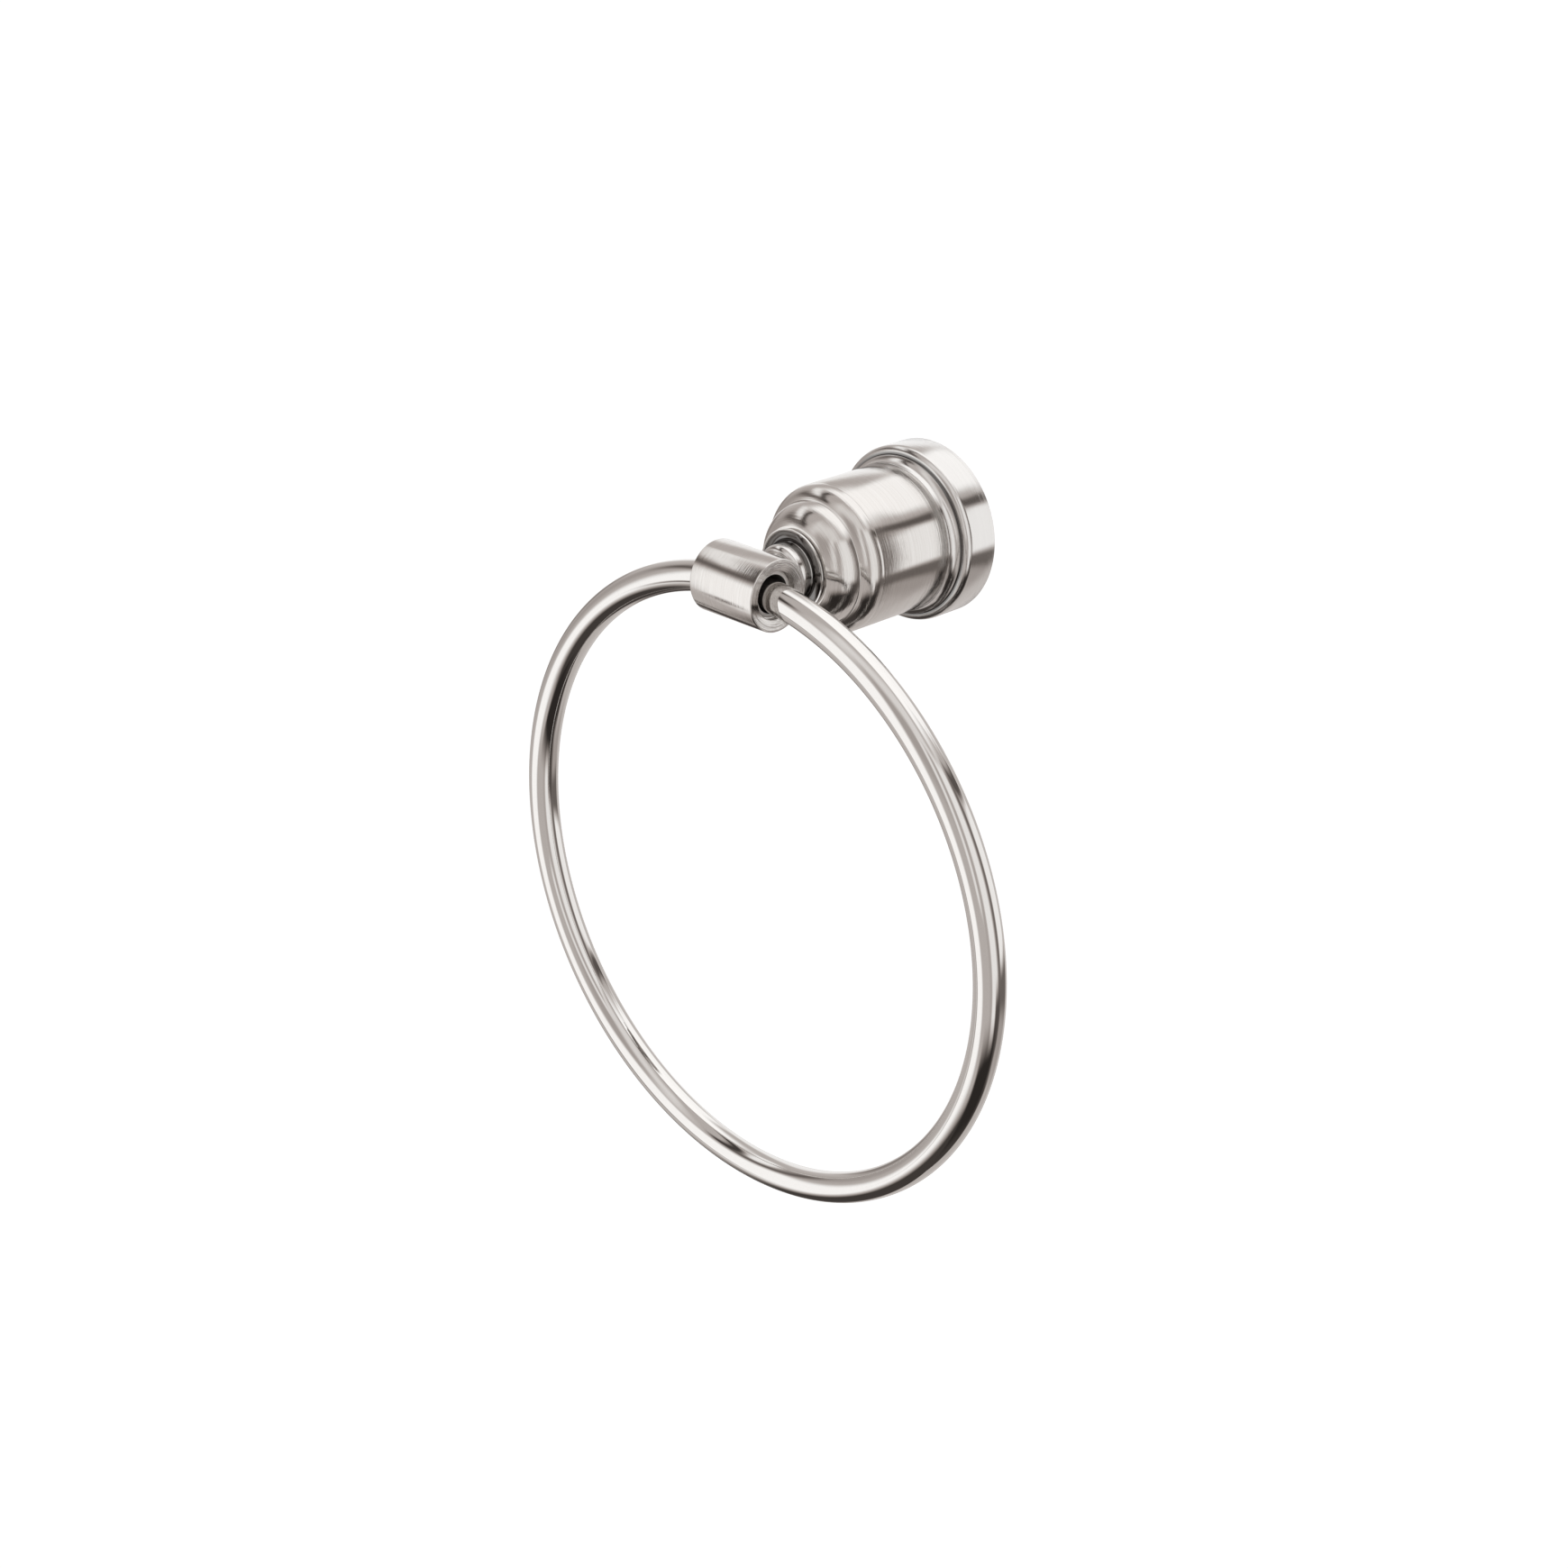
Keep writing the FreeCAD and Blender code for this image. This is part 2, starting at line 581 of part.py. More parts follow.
def make_set_screw():
    """Pointed grub screw under the flange, biting into the plate's groove."""
    body = doc.addObject("PartDesign::Body", "set_screw")
    body.Label = "set_screw"
    body.Placement = FreeCAD.Placement(
        FreeCAD.Vector(0, 0, 0), FreeCAD.Rotation(FreeCAD.Vector(1, 0, 0), 180))
    bind(body, ".Placement.Base.y", "-set_screw_height")
    bind(body, ".Placement.Base.z", f"-{SET_SCREW_START}")
    turned(body, "ScrewTurning", "V_Axis", [
        ("0", "0"),
        (SET_SCREW_RADIUS, SET_SCREW_RADIUS),
        (SET_SCREW_RADIUS, SET_SCREW_LENGTH),
        ("0", SET_SCREW_LENGTH),
    ])
    hex_pocket(body, "KeySocket", "set_screw_key_width", "set_screw_key_depth",
               offset=SET_SCREW_LENGTH)
    return body


pieces = [
    make_wall_plate(),
    make_wall_flange(),
    make_body_sleeve(),
    make_dome_cap(),
    make_collar_ring(),
    make_ring_holder(),
    make_bush("bush_right", UPRIGHT),
    make_bush("bush_left", HALF_TURN),
    make_towel_ring(),
    make_tie_bolt(),
    make_spring_washer(),
    make_set_screw(),
]
doc.recompute()

for item in doc.Objects:
    if "Invalid" in item.State or "Error" in item.State:
        raise RuntimeError(f"{item.Label} failed: {item.State}")
for piece in pieces:
    if piece.Shape.isNull() or not piece.Shape.isValid() or len(piece.Shape.Solids) != 1:
        raise RuntimeError(f"{piece.Label} is not one valid solid")

os.makedirs("parts", exist_ok=True)
for piece in pieces:
    piece.Shape.exportStep(f"parts/{piece.Label}.step")
    box = piece.Shape.optimalBoundingBox(False, False)
    print(f"{piece.Label:14s} volume {piece.Shape.Volume:9.1f}"
          f"  x {box.XMin:8.2f} {box.XMax:8.2f}  y {box.YMin:8.2f} {box.YMax:8.2f}"
          f"  z {box.ZMin:8.2f} {box.ZMax:8.2f}")
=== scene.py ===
"""Dressed model of a wall-mounted towel ring: turned post, cross barrel and loose ring.

Frame: X runs right along the wall, +Y points into the wall, +Z is up, in metres.
"""
import math
import typing
import bmesh
import bpy
from mathutils import Matrix, Vector


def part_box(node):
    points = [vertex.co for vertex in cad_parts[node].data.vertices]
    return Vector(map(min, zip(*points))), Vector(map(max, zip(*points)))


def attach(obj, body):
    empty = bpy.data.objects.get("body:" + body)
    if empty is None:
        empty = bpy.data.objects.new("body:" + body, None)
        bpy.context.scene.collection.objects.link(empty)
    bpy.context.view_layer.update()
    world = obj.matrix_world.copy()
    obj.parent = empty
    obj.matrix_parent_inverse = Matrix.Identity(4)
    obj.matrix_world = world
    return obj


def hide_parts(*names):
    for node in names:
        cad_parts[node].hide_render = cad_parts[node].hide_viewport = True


bl_info = {
    "name": "Towel Ring",
    "version": (1, 0, 0),
    "blender": (4, 5, 0),
    "location": "3D View > Sidebar > Towel Ring",
    "description": "Builds a wall-mounted towel ring round its fixed frame",
    "category": "Object",
}

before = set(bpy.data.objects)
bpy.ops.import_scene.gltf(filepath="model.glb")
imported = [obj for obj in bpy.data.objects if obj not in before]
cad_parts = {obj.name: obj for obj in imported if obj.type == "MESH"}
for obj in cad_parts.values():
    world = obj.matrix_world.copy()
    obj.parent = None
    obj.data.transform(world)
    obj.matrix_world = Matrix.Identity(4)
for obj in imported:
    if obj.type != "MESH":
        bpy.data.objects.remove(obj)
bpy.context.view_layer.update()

MM = 0.001
TURN = 2 * math.pi
AWAY = Vector((0, -1, 0))
TURNED_STEPS = 256
ROD_STEPS = 64
RING_STEPS = 384
SHARP_ANGLE = math.radians(28)
BUSH_STEPS = 128
SHARP_ROD_ANGLE = math.radians(60)
WELD = 1e-7  # vertices closer than this are one

# Sizes that no one would change by themselves
SPIGOT_PLAY = 0.05 * MM   # flange inside the sleeve
CAP_SEAT = 3 * MM         # width of the cap's back inside the sleeve
BOLT_HOLE = 4.6 * MM      # radius, in cap and collar
NECK_BORE = 4.5 * MM
NECK_END = 6.5 * MM       # from the barrel's axis, inside its wall
FOOT_PLAY = 0.1 * MM      # collar's floor round the neck's foot
BARREL_ARRIS = 0.08 * MM
NECK_ARRIS = 0.15 * MM
COLLAR_ARRIS = 0.6        # share of the post's arris

# Depth of the brushed lines in each finish, as a share of the line depth
CAP_LINES = 0.9
COLLAR_LINES = 0.5
BARREL_LINES = 0.6
BARREL_END_LINES = 5.0    # added on the flat ends
RING_DRIFT = 0.03         # how fast a brushed line changes on its way round
LINE_SHARE = 0.1          # how much lines or grain show where shade is painted
PAINTED_QUIRK_SHADE = 0.8      # painted shade in the flange's small fillet
PAINTED_BORE_SHADE = 0.9       # painted shade in the liners' insides

# Feature sizes of the noise in each finish
WIPING_MARKS = 5 * MM
FINE_SCRATCHES = 1.2 * MM
CLOUDS = 8 * MM
NYLON_GRAIN = 0.4 * MM
PLATE_GRAIN = 1.5 * MM
OXIDE_GRAIN = 0.6 * MM

# Painted shade in the collar's groove and on its dish, by its share of the collar's radius
PAINTED_SHADE_STOPS = (
    (0.70, 0.0), (0.71, 0.98), (0.765, 0.98), (0.78, 0.76), (0.94, 0.66), (0.958, 0.0))
FLOOR_HALF = 8.0
FLOOR_GLOW = 0.5          # what the view sees of the floor besides its own light


def reach_of(node):
    """How far a node's front stands off the wall."""
    return -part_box(node)[0].y


def radius_of(node):
    """Radius of a node turned about the post's axis."""
    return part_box(node)[1].x


def length(name, description, default):
    """A length that the sidebar shows in the scene's units."""
    return bpy.props.FloatProperty(
        name=name, description=description, default=default, min=0, unit="LENGTH", precision=5)


def share(name, description, default):
    """A number from 0 to 1 that the sidebar shows as a slider."""
    return bpy.props.FloatProperty(
        name=name, description=description, default=default, min=0, max=1, subtype="FACTOR")


def colour(name, description, default):
    """A linear colour."""
    return bpy.props.FloatVectorProperty(
        name=name, description=description, default=default, size=3, min=0, max=1,
        subtype="COLOR")


def angle(name, description, degrees):
    """An angle that the sidebar shows in degrees."""
    return bpy.props.FloatProperty(
        name=name, description=description, default=math.radians(degrees), unit="ROTATION")


class PostSizes(bpy.types.PropertyGroup):
    """Sizes of the turned post."""
    flange_radius: length("Flange radius", "Plain edge of the flange", radius_of("wall_flange"))
    flange_edge: length("Flange edge", "Depth of the plain edge", 7.9 * MM)
    ovolo_height: length("Ovolo height", "Quarter round in front of the edge", 1.95 * MM)
    ovolo_fall: length("Ovolo fall", "How far the ovolo drops inward", 1.944 * MM)
    fillet_height: length("Fillet height", "Small step between ovolo and cove", 0.35 * MM)
    flange_front: length("Flange front", "Where the cove ends and the sleeve starts",
                         -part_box("body_sleeve")[1].y)
    socket_radius: length("Socket radius", "Opening behind the flange", 16.6 * MM)
    socket_depth: length("Socket depth", "Depth of that opening", 6.7 * MM)
    sleeve_radius: length("Sleeve radius", "Brushed body of the post", radius_of("body_sleeve"))
    sleeve_front: length("Sleeve front", "Where the cap starts", reach_of("body_sleeve"))
    sleeve_bore: length("Sleeve bore", "Radius inside the tube", 16.0 * MM)
    shoulder_height: length("Shoulder height", "Along the post, from sleeve to dome", 4.85 * MM)
    shoulder_fall: length("Shoulder fall", "How far the shoulder drops inward", 3.2 * MM)
    dome_rise: length("Dome rise", "Height of the dome's curve over its chord", 1.0 * MM)
    dome_land: length("Dome land", "Radius of the dome's flat top", 10.4 * MM)
    dome_front: length("Dome front", "How far the dome stands off the wall",
                       reach_of("dome_cap"))
    collar_radius: length("Collar radius", "Rim of the dished collar", radius_of("collar_ring"))
    collar_front: length("Collar front", "Reach of the collar's rim", reach_of("collar_ring"))
    collar_back: length("Collar back", "Radius of the collar's seat", 8.6 * MM)
    collar_lip: length("Collar lip", "Width of the rim's flat", 0.35 * MM)
    collar_lip_height: length("Collar lip height", "Height of the rim's edge", 0.45 * MM)
    collar_floor: length("Collar floor", "Thickness under the neck", 1.0 * MM)
    collar_trough: length("Collar trough", "Depth of the dish's curve", 0.15 * MM)
    arris: length("Arris", "Width of a broken edge", 0.12 * MM)


class HolderSizes(bpy.types.PropertyGroup):
    """Sizes of the cross barrel, its neck and its liners."""
    axis_reach: length("Axis reach", "Distance from the wall to the barrel's axis", 62.0 * MM)
    neck_radius: length("Neck radius", "Band behind the barrel", 7.1 * MM)
    neck_foot: length("Neck foot", "Hollow rounding where the neck meets the collar", 0.7 * MM)
    neck_band: length("Neck band", "Length of the band", 3.2 * MM)
    neck_round: length("Neck round", "Rounding in front of the band", 1.8 * MM)
    neck_length: length("Neck length", "From the collar to the barrel's axis", 14.6 * MM)
    barrel_radius: length("Barrel radius", "Outside of the barrel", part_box("ring_holder")[1].z)
    barrel_half: length("Barrel half", "Half of the barrel's length",
                        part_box("ring_holder")[1].x)
    edge_round: length("Edge round", "Rounding at the barrel's ends", 0.25 * MM)
    dish_depth: length("Dish depth", "Hollow of the barrel's ends", 0.6 * MM)
    web_half: length("Web half", "Half of the wall between the pockets", 1.5 * MM)
    mouth_radius: length("Mouth radius", "Step round each liner", 5.85 * MM)
    mouth_depth: length("Mouth depth", "Depth of that step", 2.0 * MM)
    bush_radius: length("Bush radius", "Outside of a liner", 5.6 * MM)
    bush_bore: length("Bush bore", "Inside of a liner", 4.55 * MM)
    bush_front: length("Bush front", "Where a liner's lip ends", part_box("bush_right")[1].x)
    bush_back: length("Bush back", "Where a liner starts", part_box("bush_right")[0].x)
    bush_round: length("Bush round", "Rounding of a liner's lip", 0.25 * MM)


class RingSizes(bpy.types.PropertyGroup):
    """Sizes of the hanging ring."""
    rod_radius: length("Rod radius", "Half of the rod's diameter",
                       (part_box("towel_ring")[1].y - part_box("towel_ring")[0].y) / 2)
    bend_radius: length("Bend radius", "Radius of the rod's centre line",
                        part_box("towel_ring")[1].x
                        - (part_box("towel_ring")[1].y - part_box("towel_ring")[0].y) / 2)
    end_gap: length("End gap", "Between the rod's cut ends, inside the barrel", 4.2 * MM)


class Finishes(bpy.types.PropertyGroup):
    """Colours and gloss of the metals and the liners."""
    nickel: colour("Nickel", "Light warm metal of the post and ring", (0.72, 0.702, 0.685))
    nickel_shade: colour("Nickel shade", "Its tint in the fine lines", (0.60, 0.568, 0.540))
    painted_recess_shade: colour("Groove", "Dark nickel in the collar's groove", (0.030, 0.027, 0.025))
    # painted shade: near-black colour painted where shade falls, in the collar's groove and dish,
    # the flange's quirk and the liners' bores
    steel: colour("Plated steel", "Hidden plate and bolt", (0.55, 0.56, 0.58))
    dark_steel: colour("Dark steel", "Grub screw", (0.05, 0.05, 0.055))
    liner: colour("Liner", "Pale nylon of the bushes", (0.78, 0.73, 0.69))
    polish: share("Polish", "Roughness of the polished metal", 0.05)
    brushed: share("Brushed", "Roughness of the brushed metal", 0.10)
    line_pitch: length("Line pitch", "Spacing of the brushed lines", 0.30 * MM)
    line_depth: length("Line depth", "Depth of the brushed lines", 0.03 * MM)


class Studio(bpy.types.PropertyGroup):
    """Camera, world light and floor."""
    azimuth: angle("Azimuth", "Direction of the view round the object", 45.657)
    elevation: angle("Elevation", "Height of the view above the horizon", 24.321)
    camera_place: bpy.props.FloatVectorProperty(
        name="Camera place", description="Where the camera stands", size=3, unit="LENGTH",
        default=(418.06 * MM, -458.59 * MM, 209.60 * MM))
    focal_length: bpy.props.FloatProperty(
        name="Focal length", description="Lens of the camera in millimetres", default=60.27)
    floor_drop: length("Floor drop", "Depth of the floor below the post", 620 * MM)
    room_light: share("Room light", "Strength of the world on matt surfaces", 0.6)
    card_light: bpy.props.FloatProperty(
        name="Card light", description="Strength of the cards in the metal", default=1.1, min=0)
    shade_tint: colour("Shade tint", "Cast of the darkest cards", (1.0, 0.86, 0.79))


class Value:
    """A shader socket that takes arithmetic."""

    def __init__(self, shader, socket):
        self.shader = shader
        self.socket = socket

    def maths(self, operation, *others):
        """Add a Math node fed by this value and others."""
        return self.shader.node("ShaderNodeMath", {"operation": operation}, self, *others)

    def __add__(self, other): return self.maths("ADD", other)
    def __sub__(self, other): return self.maths("SUBTRACT", other)
    def __mul__(self, other): return self.maths("MULTIPLY", other)
    def __truediv__(self, other): return self.maths("DIVIDE", other)
    def __pow__(self, other): return self.maths("POWER", other)

    def __rsub__(self, other):
        return self.shader.node("ShaderNodeMath", {"operation": "SUBTRACT"}, other, self)

    __radd__ = __add__
    __rmul__ = __mul__


class Shader:
    """A node tree of a material or of the world."""

    def __init__(self, name, owners=None):
        self.owner = (bpy.data.materials if owners is None else owners).new(name)
        self.owner.use_nodes = True
        self.tree = self.owner.node_tree
        self.tree.nodes.clear()

    def link(self, socket, given):
        """Feed an input socket from a value, a node or a plain number."""
        if isinstance(given, Value):
            self.tree.links.new(given.socket, socket)
        elif given is not None:
            socket.default_value = given

    def node(self, kind, settings=None, *inputs, output=0, **named):
        """Add a node: its settings first, then its inputs in order or by name."""
        made = self.tree.nodes.new(kind)
        for key, setting in (settings or {}).items():
            if key == "stops":
                ramp = made.color_ramp
                for _ in range(len(setting) - 2):
                    ramp.elements.new(0.5)
                for element, (place, shade) in zip(ramp.elements, setting):
                    element.position = place
                    element.color = (shade, shade, shade, 1)
            else:
                setattr(made, key, setting)
        for socket, given in zip(made.inputs, inputs):
            self.link(socket, given)
        for key, given in named.items():
            self.link(made.inputs[key.replace("_", " ")], given)
        return Value(self, made.outputs[output])

    def place(self, stretch=(1, 1, 1)):
        """Object coordinates, scaled by a stretch for each axis."""
        here = self.node("ShaderNodeTexCoord", None, output=3)
        return self.node("ShaderNodeMapping", None, here, None, None, stretch)

    def from_axis(self, barrel_reach=None):
        """Place along the post's axis, radius from it and place round it.

        With a reach, the axis is the barrel's instead.
        """
        here = self.node("ShaderNodeTexCoord", None, output=3)
        x, y, z = (self.node("ShaderNodeSeparateXYZ", None, here, output=axis) for axis in range(3))
        along, across = (y, x) if barrel_reach is None else (x, y + barrel_reach)
        return along, (across * across + z * z) ** 0.5, across + z

    def rings(self, pitch, barrel_reach=None):
        """Fine uneven rings about that axis, and the radius from it."""
        along, radius, around = self.from_axis(barrel_reach)
        where = self.node("ShaderNodeCombineXYZ", None, along, radius, around * RING_DRIFT)
        return self.noise(where, pitch, detail=3.0, roughness=0.6), radius

    def noise(self, where, size, detail=4.0, roughness=0.55):
        """Noise of about the given feature size."""
        return self.node("ShaderNodeTexNoise", None, where, None, 1 / size, detail, roughness)

    def between(self, first, second, share_of_second):
        """Blend two colours."""
        return self.node("ShaderNodeMix", {"data_type": "RGBA"}, share_of_second, None, None,
                         None, None, None, (*first, 1), (*second, 1), output=2)

    def soft_edge(self, distance, half, edge):
        """One inside a half width in degrees, nought outside, with a soft edge between."""
        return self.node("ShaderNodeMapRange", {"interpolation_type": "SMOOTHSTEP"},
                         distance.maths("ABSOLUTE"), math.radians(half + edge),
                         math.radians(half - edge))

    def spread(self, value, low, high):
        """Map 0 to 1 onto a range."""
        return self.node("ShaderNodeMapRange", {"clamp": True}, value, 0.0, 1.0, low, high)

    def surface(self, **named):
        """Finish with a Principled surface."""
        shader = self.node("ShaderNodeBsdfPrincipled", None, **named)
        out = self.tree.nodes.new("ShaderNodeOutputMaterial")
        self.tree.links.new(shader.socket, out.inputs["Surface"])
        return self.owner


def polished_nickel(shader, finish):
    """Polished nickel with faint wiping marks."""
    marks = shader.noise(shader.place(), WIPING_MARKS)
    fine = shader.noise(shader.place((1, 6, 1)), FINE_SCRATCHES)
    return shader.surface(
        Base_Color=shader.between(finish.nickel, finish.nickel_shade, fine * 0.25),
        Metallic=1.0,
        Roughness=shader.spread(marks, finish.polish * 0.7, finish.polish * 1.4))


def lined_surface(shader, finish, lines, height, colour_here):
    """Metal whose fine lines draw each highlight out across them."""
    clouds = shader.noise(shader.place(), CLOUDS)
    bump = shader.node("ShaderNodeBump", None, Strength=1.0, Distance=finish.line_depth,
                       Height=height)
    return shader.surface(
        Base_Color=colour_here,
        Metallic=1.0,
        Roughness=shader.spread(clouds * 0.4 + lines * 0.6, finish.brushed * 0.8,
                                finish.brushed * 1.25),
        Normal=bump)


def brushed_nickel(shader, finish):
    """Brushed nickel of the sleeve."""
    lines, _ = shader.rings(finish.line_pitch)
    return lined_surface(shader, finish, lines, lines,
                         shader.between(finish.nickel, finish.nickel_shade, lines))


def flange_nickel(shader, finish):
    """Brushed nickel of the flange, with painted shade in the quirk between ovolo and cove."""
    post = bpy.context.scene.towel_post
    lines, _ = shader.rings(finish.line_pitch)
    along, _, _ = shader.from_axis()
    quirk = along + (post.flange_edge + post.ovolo_height + post.fillet_height / 2)
    # painted shade: a near-black band painted along the quirk where shade falls
    painted_quirk_shade = shader.node("ShaderNodeMapRange", {"interpolation_type": "SMOOTHSTEP"},
                       quirk.maths("ABSOLUTE"), post.fillet_height * 1.1,
                       post.fillet_height * 0.4)
    return lined_surface(shader, finish, lines, lines,
                         shader.between(finish.nickel, finish.painted_recess_shade,
                                        painted_quirk_shade * PAINTED_QUIRK_SHADE + lines * LINE_SHARE))


def turned_nickel(shader, finish):
    """Finely turned nickel of the cap."""
    lines, _ = shader.rings(finish.line_pitch)
    return lined_surface(shader, finish, lines, lines * CAP_LINES,
                         shader.between(finish.nickel, finish.nickel_shade, lines))


def dished_nickel(shader, finish):
    """Nickel of the collar and the neck, with painted shade in the groove between them and on the
    collar's dish.
    """
    post = bpy.context.scene.towel_post
    lines, radius = shader.rings(finish.line_pitch)
    # painted shade: the groove round the neck's foot is painted near black and the dish is painted
    # dark
    painted_recess_shade = shader.node("ShaderNodeValToRGB", {"stops": PAINTED_SHADE_STOPS}, radius / post.collar_radius)
    return lined_surface(shader, finish, lines, lines * COLLAR_LINES,
                         shader.between(finish.nickel, finish.painted_recess_shade, painted_recess_shade + lines * LINE_SHARE))


def barrel_nickel(shader, finish):
    """Brushed nickel of the barrel, with deeper lines on its ends."""
    holder = bpy.context.scene.towel_holder
    lines, radius = shader.rings(finish.line_pitch, holder.axis_reach)
    end_face = radius.maths("LESS_THAN", holder.barrel_radius - holder.edge_round)
    return lined_surface(shader, finish, lines,
                         lines * (end_face * BARREL_END_LINES + BARREL_LINES),
                         shader.between(finish.nickel, finish.nickel_shade, lines))


def nylon(shader, finish):
    """Pale liner plastic, with painted shade inside the bore."""
    holder = bpy.context.scene.towel_holder
    _, radius, _ = shader.from_axis(holder.axis_reach)
    # painted shade: the bore is painted near black where shade falls inside the liner
    painted_bore_mask = radius.maths("LESS_THAN", holder.bush_bore + holder.bush_round * 0.6)
    grain = shader.noise(shader.place(), NYLON_GRAIN)
    bump = shader.node("ShaderNodeBump", None, Strength=0.1, Distance=0.02 * MM, Height=grain)
    return shader.surface(
        Base_Color=shader.between(finish.liner, finish.painted_recess_shade,
                                  painted_bore_mask * PAINTED_BORE_SHADE + grain * LINE_SHARE),
        Roughness=shader.spread(grain, 0.35, 0.5), Normal=bump)


def plated_steel(shader, finish):
    """Bright plated steel of the hidden plate, bolt and washer."""
    grain = shader.noise(shader.place(), PLATE_GRAIN)
    bump = shader.node("ShaderNodeBump", None, Strength=0.15, Distance=0.03 * MM, Height=grain)
    return shader.surface(
        Base_Color=shader.between(finish.steel, [c * 0.8 for c in finish.steel], grain),
        Metallic=1.0, Roughness=shader.spread(grain, 0.28, 0.42), Normal=bump)


def dark_steel(shader, finish):
    """Oiled black steel of the grub screw."""
    grain = shader.noise(shader.place(), OXIDE_GRAIN)
    return shader.surface(
        Base_Color=shader.between(finish.dark_steel, [c * 1.6 for c in finish.dark_steel], grain),
        Metallic=1.0, Roughness=shader.spread(grain, 0.3, 0.45))


RECIPES = {
    "polished_nickel": polished_nickel,
    "brushed_nickel": brushed_nickel,
    "flange_nickel": flange_nickel,
    "turned_nickel": turned_nickel,
    "dished_nickel": dished_nickel,
    "barrel_nickel": barrel_nickel,
    "liner": nylon,
    "plated_steel": plated_steel,
    "dark_steel": dark_steel,
}


def finish_of(name):
    """Find a material or make it on its first use."""
    title = name + "_finish"
    found = bpy.data.materials.get(title)
    return found or RECIPES[name](Shader(title), bpy.context.scene.towel_finishes)


class Outline:
    """Half section of a turned piece, drawn by its corners and arcs, then spun.

    A corner is (across, along): its distance from the axis and its place on it.
    """

    def __init__(self, across, along):
        self.mesh = bmesh.new()
        self.end = bmesh.ops.create_vert(self.mesh, co=(across, along, 0))["vert"][0]
        self.start = self.end

    def line(self, across, along):
        """Draw a straight stretch to a corner."""
        made = bmesh.ops.extrude_vert_indiv(self.mesh, verts=[self.end])
        self.end = made["verts"][0]
        self.end.co = (across, along, 0)
        return self

    def arc(self, across, along, rise, steps=12):
        """Draw an arc to a corner. Its middle stands by rise to the right of the way there,
        or to the left if rise is negative."""
        start = self.end.co.copy()
        finish = Vector((across, along, 0))
        chord = finish - start
        half = chord.length / 2
        radius = (rise * rise + half * half) / (2 * abs(rise))
        right = Vector((chord.y, -chord.x, 0)).normalized() * math.copysign(1, rise)
        centre = (start + finish) / 2 + right * (abs(rise) - radius)
        sweep = 4 * math.atan2(abs(rise), half)
        made = bmesh.ops.spin(
            self.mesh, geom=[self.end], cent=centre, axis=(0, 0, math.copysign(1, rise)),
            angle=sweep, steps=steps, use_duplicate=False)
        self.end = next(item for item in made["geom_last"] if isinstance(item, bmesh.types.BMVert))
        return self

    def close(self):
        """Draw the last straight stretch, back to the first corner."""
        self.line(*self.start.co.xy)
        return self

    def spun(self, steps=TURNED_STEPS, arris=0.0):
        """Spin the section about its axis into a closed skin, with its sharp edges broken."""
        bmesh.ops.remove_doubles(self.mesh, verts=self.mesh.verts, dist=WELD)
        bmesh.ops.spin(
            self.mesh, geom=self.mesh.verts[:] + self.mesh.edges[:], cent=(0, 0, 0),
            axis=(0, 1, 0), angle=TURN, steps=steps, use_merge=True, use_duplicate=False)
        bmesh.ops.remove_doubles(self.mesh, verts=self.mesh.verts, dist=WELD)
        bmesh.ops.recalc_face_normals(self.mesh, faces=self.mesh.faces)
        if arris:
            edges = [edge for edge in self.mesh.edges
                     if len(edge.link_faces) == 2 and edge.calc_face_angle() > SHARP_ANGLE]
            bmesh.ops.bevel(self.mesh, geom=edges, offset=arris, offset_type="OFFSET",
                            affect="EDGES", segments=2, profile=0.5, material=-1,
                            clamp_overlap=True)
        return self.mesh


def turn_mesh(mesh, matrix):
    """Turn or move every vertex of a bmesh."""
    bmesh.ops.transform(mesh, matrix=matrix, verts=mesh.verts)
    return mesh


def piece_from(mesh, name, material, body, node=None, sharp=SHARP_ANGLE):
    """Make an object of a bmesh, ride it on its body and let it stand for its CAD node."""
    bmesh.ops.recalc_face_normals(mesh, faces=mesh.faces)
    for face in mesh.faces:
        face.smooth = True
    for edge in mesh.edges:
        edge.smooth = len(edge.link_faces) != 2 or edge.calc_face_angle() < sharp
    data = bpy.data.meshes.new(name)
    mesh.to_mesh(data)
    mesh.free()
    data.materials.append(finish_of(material))
    piece = bpy.data.objects.new(name, data)
    bpy.context.scene.collection.objects.link(piece)
    if node:
        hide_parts(node)
    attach(piece, body)
    return piece


# A section is drawn with its axis along +Y; this turns it to run away from the wall
FROM_WALL = Matrix.Rotation(math.pi, 4, "X")


def onto_barrel(size):
    """Turn a section's axis along +X and move it onto the barrel's axis."""
    return (Matrix.Translation(AWAY * size.axis_reach)
            @ Matrix.Rotation(-math.pi / 2, 4, "Z"))


class TOWEL_OT_wall_flange(bpy.types.Operator):
    """Make the turned flange with its ovolo, fillet and cove"""
    bl_idname = "towel.wall_flange"
    bl_label = "Wall flange"

    def execute(self, context):
        size = context.scene.towel_post
        ovolo_top = size.flange_edge + size.ovolo_height
        step_radius = size.flange_radius - size.ovolo_fall
        cove_start = ovolo_top + size.fillet_height
        inner = size.sleeve_bore - SPIGOT_PLAY
        outline = Outline(size.socket_radius, 0)
        outline.line(size.flange_radius, 0)
        outline.line(size.flange_radius, size.flange_edge)
        outline.arc(step_radius, ovolo_top, sweep_rise(size.ovolo_height, size.ovolo_fall), 20)
        outline.line(step_radius, cove_start)
        outline.arc(size.sleeve_radius, size.flange_front,
                    -sweep_rise(size.flange_front - cove_start, step_radius - size.sleeve_radius),
                    20)
        outline.line(inner, size.flange_front)
        outline.line(inner, size.socket_depth)
        outline.line(size.socket_radius, size.socket_depth)
        outline.close()
        mesh = turn_mesh(outline.spun(arris=size.arris), FROM_WALL)
        piece_from(mesh, "wall_flange_turning", "flange_nickel", "post", "wall_flange")
        return {"FINISHED"}


